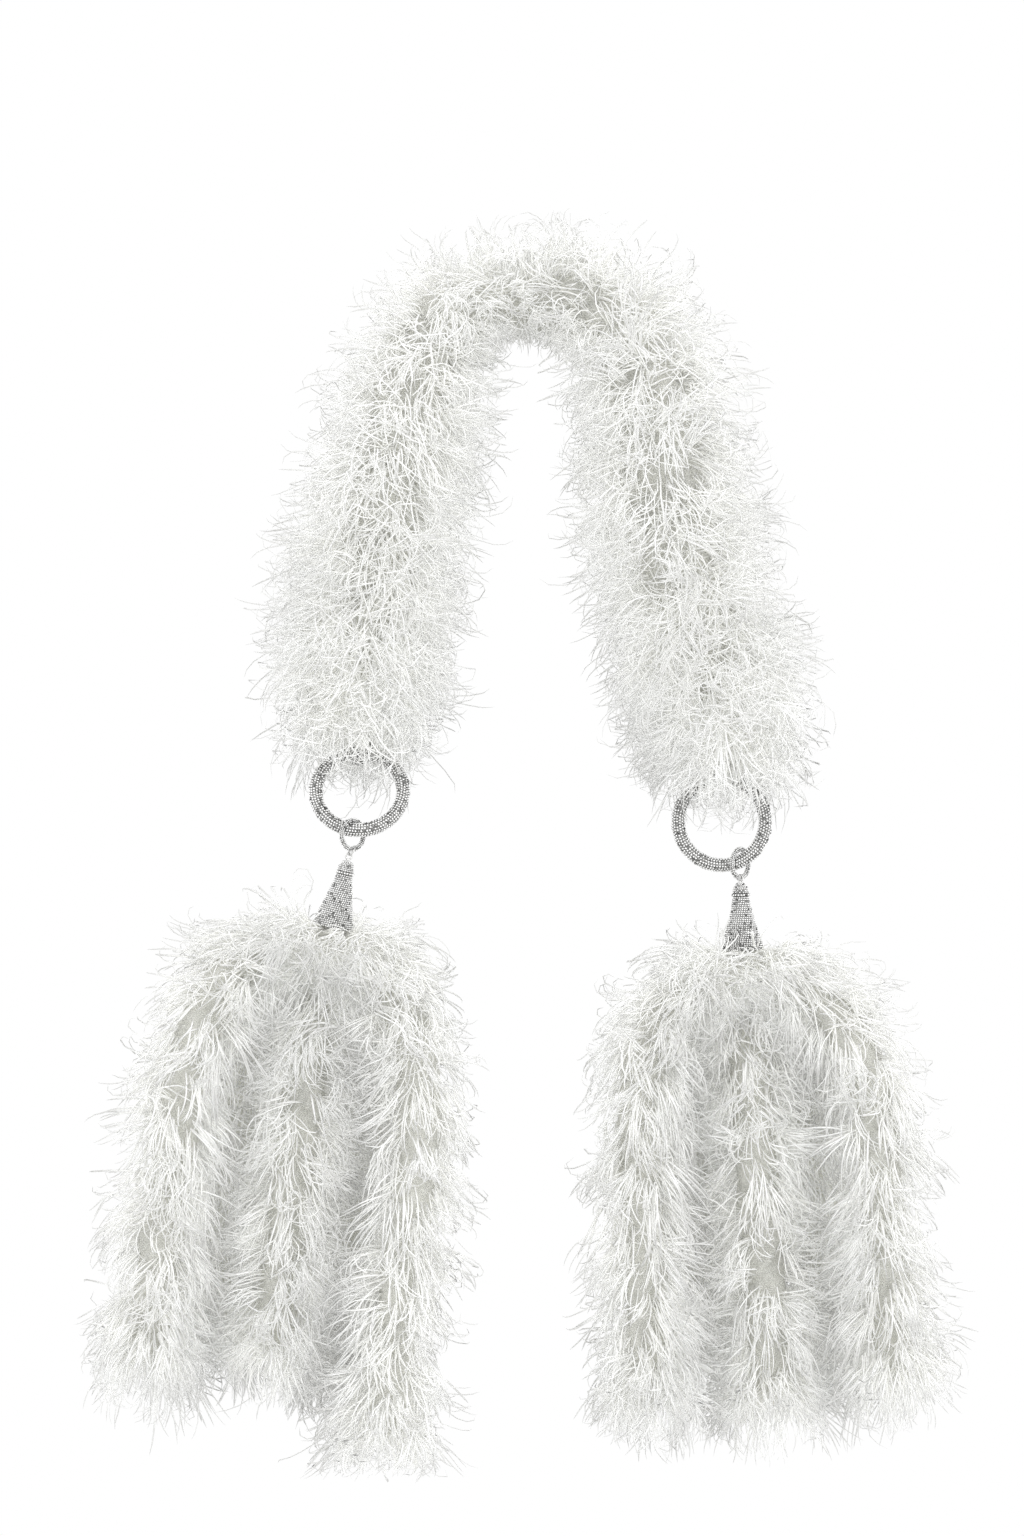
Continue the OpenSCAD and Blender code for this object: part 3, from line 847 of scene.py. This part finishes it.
# %% Metal materials
def setting_finish():
    board = new_board("crystal_setting")
    cells = board.node("ShaderNodeTexVoronoi", {"feature": "DISTANCE_TO_EDGE"},
                       {"Vector": board.place(), "Scale": 620.0}, out="Distance")
    seam = board.ramp(cells, (0.0, (0.10, 0.10, 0.098)), (0.25, (0.4, 0.4, 0.39)),
                      (0.6, (0.78, 0.78, 0.77)))
    return board.finish(Base_Color=seam, Metallic=1.0, Roughness=0.25 + board.noise(300.0) * 0.2,
                        Normal=board.bump(cells, 0.6 * MM))


def silver_finish():
    board = new_board("polished_silver")
    smear = board.noise(120.0, 4.0)
    colour = board.ramp(smear, (0.3, (0.58, 0.58, 0.57)), (0.7, (0.80, 0.80, 0.79)))
    return board.finish(Base_Color=colour, Metallic=1.0, Roughness=0.16 + smear * 0.2,
                        Normal=board.bump(board.noise(900.0), 0.1 * MM))


THREAD_PITCH = 5200.0


def thread_finish():
    board = new_board("wound_thread")
    height = board.node("ShaderNodeSeparateXYZ", {}, {0: board.place()}, out="Z")
    ridge = (height * THREAD_PITCH).wave()
    colour = board.ramp(ridge, (0.0, (0.45, 0.43, 0.38)), (0.6, (0.84, 0.82, 0.76)))
    return board.finish(Base_Color=colour, Roughness=0.75 + board.noise(800.0) * 0.2,
                        Normal=board.bump(ridge, 0.4 * MM))


SETTING, SILVER, THREAD = setting_finish(), silver_finish(), thread_finish()
PLAIN = ("jump_link", "end_eye", "end_cap", "pin_nut", "plate", "eye_pin")
for name, node in frame["nodes"].items():
    finish = SILVER if any(part in name for part in PLAIN) else SETTING
    if "binding" in name or "cord" in name:
        finish = THREAD
    if not node.material_slots:
        node.data.materials.append(finish)
    for place in node.material_slots:
        place.material = finish
print("finishes on", len(frame["nodes"]), "CAD nodes")

# %% [markdown]
# ## Crystals
# Every ring, link and bell is paved with small flat-backed crystals. A stone has six sides: a table,
# a crown of six facets and a closed back. Its facets catch light and dark by turns, and this is
# painted: each facet gets a grey of its own, from a painted dark reflection to a painted glint. The
# stones sit in staggered rows on the surface under them.

# %% Crystal material and stone
def crystal_finish():
    board = new_board("flat_back_crystal")
    spark = board.attribute("spark")
    # Painted reflection: each facet's grey runs from a dark reflection to a white glint.
    colour = board.ramp(spark, (0.0, (0.06, 0.06, 0.06)), (0.28, (0.40, 0.40, 0.395)),
                        (0.4, (1.0, 1.0, 0.99)), (1.0, (1.0, 1.0, 1.0)))
    return board.finish(Base_Color=colour, Metallic=0.85, Roughness=0.08 + spark * 0.2)


CRYSTAL = crystal_finish()
TABLE_SHARE = 0.62
CROWN_SHARE = 0.42
STONE_SINK = 0.12
STONE_SIZES = (0.9, 1.02)


def crystals(name, seed, rows, pitch, body):
    """Stones at points, each with its outward direction and a direction along its row. A stone's
    outline is r (cos a along + sin a over), sunk at its foot and smaller at its table."""
    at, out, along = rows
    rng = np.random.default_rng(seed)
    r = (pitch * rng.uniform(*STONE_SIZES, len(at)))[:, None, None] / 2
    along = unit(along - (along * out).sum(-1, keepdims=True) * out)
    over = np.cross(out, along)
    a = TAU * np.arange(6) / 6 + TAU / 12
    ring = np.cos(a)[:, None] * along[:, None] + np.sin(a)[:, None] * over[:, None]
    base = at[:, None] + r * ring - 2 * STONE_SINK * r * out[:, None]
    rise = 2 * (CROWN_SHARE - STONE_SINK) * r * out[:, None]
    table = at[:, None] + TABLE_SHARE * r * ring + rise
    points = np.concatenate([base, table], axis=1)
    j = np.arange(6)
    crown = np.stack([j, (j + 1) % 6, 6 + (j + 1) % 6, 6 + j], axis=-1)
    caps = np.stack([j[::-1], 6 + j])
    first = (np.arange(len(at)) * 12)[:, None, None]
    faces = [(first + crown).reshape(-1, 4), (first + caps).reshape(-1, 6)]
    # Painted glints: a grey for each stone, with one of its own for each facet, for the back and for
    # the table.
    stone = rng.random((len(at), 1)) ** 0.65
    facets = stone + rng.normal(0, 0.22, (len(at), 6))
    tables = stone + rng.normal(0.08, 0.1, (len(at), 2))
    spark = np.clip(np.concatenate([facets.ravel(), tables.ravel()]), 0, 1)
    new_piece(name, points.reshape(-1, 3), faces, body, CRYSTAL, slot="pave_silver",
              face_values={"spark": spark})
    return len(at)


def row_angles(radius, pitch, shift=0.0, least=1):
    """Even angles round a row of stones that stand about a pitch apart."""
    count = max(round(TAU * radius / pitch), least)
    return TAU * (np.arange(count) + shift) / count


# %% [markdown]
# ## Crystals on the rings and links
# A ring is a torus. The stones stand in rows around its tube, and every other row is shifted by
# half a stone, as on real pave work. The hoop's centre, radius and directions come from the box of
# its CAD node, so the stones follow the CAD model when a size changes there.

# %% Crystals on hoops
RING_TUBE = 10 * MM
LINK_WIRE = 3.2 * MM
RING_PITCH = 2.3 * MM
LINK_PITCH = 1.6 * MM
SETTING_HEIGHT = 0.2 * MM


def hoop_stones(centre, first, second, big_r, small_r, pitch):
    """Rows around a torus. With row angle b and place angle a, a point is
    centre + R e(a) + r (cos b e(a) + sin b n)."""
    normal = np.cross(first, second)
    rows = round(TAU * (small_r + SETTING_HEIGHT) / pitch)
    b, a = [], []
    for row in range(rows):
        angle = TAU * row / rows
        a.append(row_angles(big_r + small_r * math.cos(angle), pitch, 0.5 * (row % 2)))
        b.append(np.full(len(a[-1]), angle))
    a, b = np.concatenate(a)[:, None], np.concatenate(b)[:, None]
    spoke = np.cos(a) * first + np.sin(a) * second
    out = np.cos(b) * spoke + np.sin(b) * normal
    return centre + big_r * spoke + small_r * out, out, -np.sin(a) * first + np.cos(a) * second


def hoop_of(node, wire):
    """A hoop's centre, its two directions and its radius, from its CAD node's box."""
    low, high = (np.array(corner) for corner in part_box(node))
    x, y, z = high - low - wire
    if "ring" in node:
        return (low + high) / 2, np.array([1.0, 0, 0]), unit(np.array([0, y, z])), x / 2
    return (low + high) / 2, unit(np.array([x, y, 0])), np.array([0, 0, 1.0]), z / 2


HOOPS = (("ring", RING_TUBE, RING_PITCH), ("upper_link", LINK_WIRE, LINK_PITCH),
         ("lower_link", LINK_WIRE, LINK_PITCH))
stones = 0
for side in SIDES:
    for hoop, wire, pitch in HOOPS:
        node = f"{side}_{hoop}"
        rows = hoop_stones(*hoop_of(node, wire), wire / 2, pitch)
        stones += crystals(f"{node}_crystals", 400 + stones, rows, pitch, node)
print("hoop stones", stones)

# %% [markdown]
# ## Crystals on the bell caps
# The left bell's stones stand in upright rows. The right bell's wind down it, and on its lower half
# they rise and sink in slanting ridges. The collar is one row of larger stones.

# %% Crystals on the bell caps
DOME_H, DOME_D, COLLAR_D, COLLAR_H = 9 * MM, 12.6 * MM, 14.4 * MM, 2.6 * MM
BELL_H, BELL_TOP_D, BELL_MOUTH_D = 43 * MM, 12 * MM, 33 * MM
BELL_FLARE = 1.1
BELL_PITCH = 1.8 * MM
DOME_PITCH = 1.6 * MM
DOME_ROWS = 8
COLLAR_PITCH = 2.2 * MM
COLLAR_STONES = 20
SWIRL = {"left": 0.0, "right": 2.4}
RIDGES = 9
RIDGE_H = 0.5 * MM


def bell_radius(share):
    """The bell's radius, top + (mouth - top) share^flare, at a share of its height."""
    return (BELL_TOP_D + (BELL_MOUTH_D - BELL_TOP_D) * share**BELL_FLARE) / 2


def bell_stones(swirl):
    """Rows down the bell. With a swirl, ridges (1 + cos) / 2 wind round its lower part."""
    rows = round(BELL_H * 1.03 / (0.9 * BELL_PITCH))
    share, a = [], []
    for row in range(rows):
        f = (row + 0.5) / rows
        a.append(row_angles(bell_radius(f), BELL_PITCH, 0.5 * (row % 2)))
        share.append(np.full(len(a[-1]), f))
    a, share = np.concatenate(a), np.concatenate(share)
    ridge = 0.5 + 0.5 * np.cos(RIDGES * a + TAU * swirl * share)
    ridge = RIDGE_H * ridge * smooth(share * 3 - 1) * (swirl > 0)
    depth = DOME_H + COLLAR_H + share * BELL_H
    at = (bell_radius(share) + ridge)[:, None] * level(a) - depth[:, None] * [[0, 0, 1]]
    slope = (BELL_MOUTH_D - BELL_TOP_D) / 2 / BELL_H
    return at, unit(level(a) + [0, 0, slope]), level(a + TAU / 4)


def dome_stones():
    """Rows up the dome's oval outline, from its foot to just under its eye."""
    at, out = [], []
    for angle in np.linspace(0.1, 1.3, DOME_ROWS):
        r = DOME_D / 2 * math.cos(angle) ** 0.8
        flat = level(row_angles(r, DOME_PITCH, least=4) + 5 * angle)
        at.append(r * flat - [0, 0, DOME_H * (1 - math.sin(angle) * 0.95)])
        out.append(unit(flat * math.cos(angle) + [0, 0, math.sin(angle)]))
    at, out = np.concatenate(at), np.concatenate(out)
    return at, out, np.cross([0, 0, 1.0], out)


def collar_stones():
    """One row of larger stones round the collar's fat edge."""
    flat = level(TAU * np.arange(COLLAR_STONES) / COLLAR_STONES)
    depth = DOME_H + COLLAR_H / 2
    return COLLAR_D / 2 * flat - [0, 0, depth], flat, np.cross([0, 0, 1.0], flat)


for side in SIDES:
    top, axes = cap_frame(side)
    paved = (("bell", bell_stones(SWIRL[side]), BELL_PITCH), ("dome", dome_stones(), DOME_PITCH),
             ("collar", collar_stones(), COLLAR_PITCH))
    for part, (at, out, along), pitch in paved:
        rows = top + at @ axes, out @ axes, along @ axes
        stones += crystals(f"{side}_{part}_crystals", 500 + stones, rows, pitch, f"{side}_cap")
print("stones in all", stones)

# %% [markdown]
# ## Floor and world
# A white object on white needs soft light from everywhere. The floor glows an even white and takes
# no light, so it has no edge in the picture. The world is plain white where the camera sees it, and
# a Map Range node on the light path makes it a little brighter for all other rays.

# %% Floor and world
FLOOR_DROP = 90 * MM
FLOOR_HALF = 20
WORLD_LIGHT = 1.2

floor_board = new_board("white_floor")
shade = floor_board.mix(floor_board.noise(3.0) * 0.002, grey(1), grey(0.99))
FLOOR = floor_board.finish(Base_Color=grey(0), Roughness=1.0, Specular_IOR_Level=0.0,
                           Emission_Color=shade, Emission_Strength=1.0)
corners = np.array([[-1, -1, 0], [1, -1, 0], [1, 1, 0], [-1, 1, 0]]) * FLOOR_HALF
corners = corners + [0, 0, cad_low[2] - FLOOR_DROP]
floor_mesh = bpy.data.meshes.new("floor")
floor_mesh.from_pydata(corners.tolist(), [], [(0, 1, 2, 3)])
floor_mesh.materials.append(FLOOR)
floor = bpy.data.objects.new("floor", floor_mesh)
bpy.context.scene.collection.objects.link(floor)

sky = Board(bpy.data.worlds.new("studio"), "Background")
seen = sky.node("ShaderNodeLightPath", out="Is Camera Ray")
strength = sky.node("ShaderNodeMapRange", {}, {"Value": seen, "To Min": WORLD_LIGHT}, out="Result")
bpy.context.scene.world = sky.finish(Color=grey(1), Strength=strength)
print("floor at", round(float(corners[0, 2]), 3), "m")

# %% [markdown]
# ## Lamps
# Two large lamps beside the camera give the fluff its form. The key lamp is high on the left. The
# fill lamp is low on the right, and lightens the shadows there.

# %% Lamps
def soft_light(name, place, size, power):
    """A square lamp that faces the middle of the boa."""
    lamp = bpy.data.objects.new(name, bpy.data.lights.new(name, "AREA"))
    lamp.data.size = size
    lamp.data.energy = power
    lamp.location = place
    x, y, z = target - np.array(place)
    tilt = math.acos(-z / math.hypot(x, y, z))
    lamp.rotation_euler = (tilt, 0, math.atan2(-x, y))
    lamp.visible_camera = False
    bpy.context.scene.collection.objects.link(lamp)


soft_light("key_light", (-1.6, -2.4, 1.3), 1.2, 9)
soft_light("fill_light", (2.2, -2.0, -0.6), 1.2, 14)
print("lights made")
